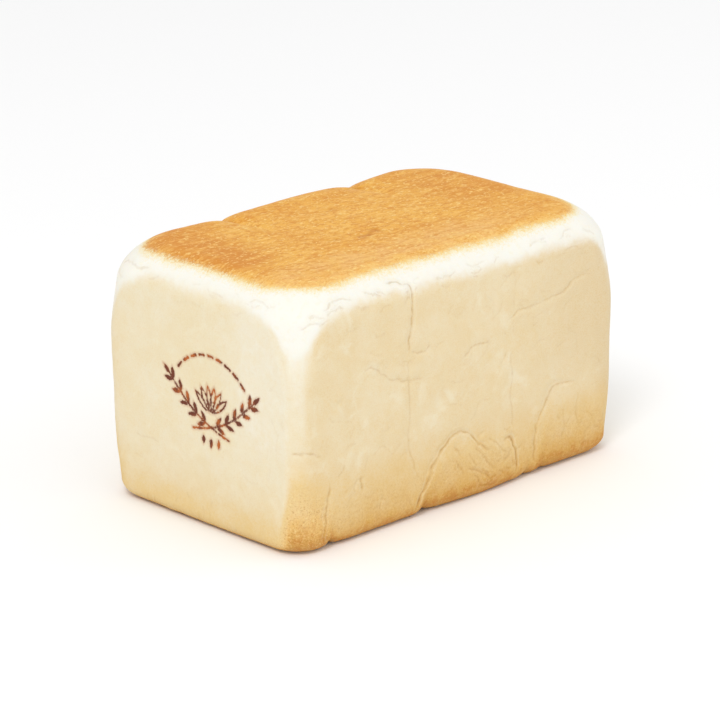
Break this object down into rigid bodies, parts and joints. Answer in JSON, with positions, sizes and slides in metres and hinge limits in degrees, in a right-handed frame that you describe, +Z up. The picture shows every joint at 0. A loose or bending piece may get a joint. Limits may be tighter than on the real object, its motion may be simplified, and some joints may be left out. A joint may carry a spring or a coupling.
{
  "type": "tin loaf",
  "caption": "White pan loaf with square sides baked in a lidded tin: browned top, pale rounded rim and sides, dough seams and a burnt mark on one end; whole loaf for slicing and serving",
  "frame": {"origin": "middle of the flat base, where the loaf rests", "axes": "+X along the loaf, from the end with the burnt mark at -X to the plain end at +X; +Y across it, with the clearer dough seams on the -Y side; +Z up to the browned top"},
  "size_m": [0.1905, 0.1204, 0.1114],
  "materials": {
    "crust": null
  },
  "bodies": {
    "root": {"loaf": "crust"}
  },
  "joints": []
}
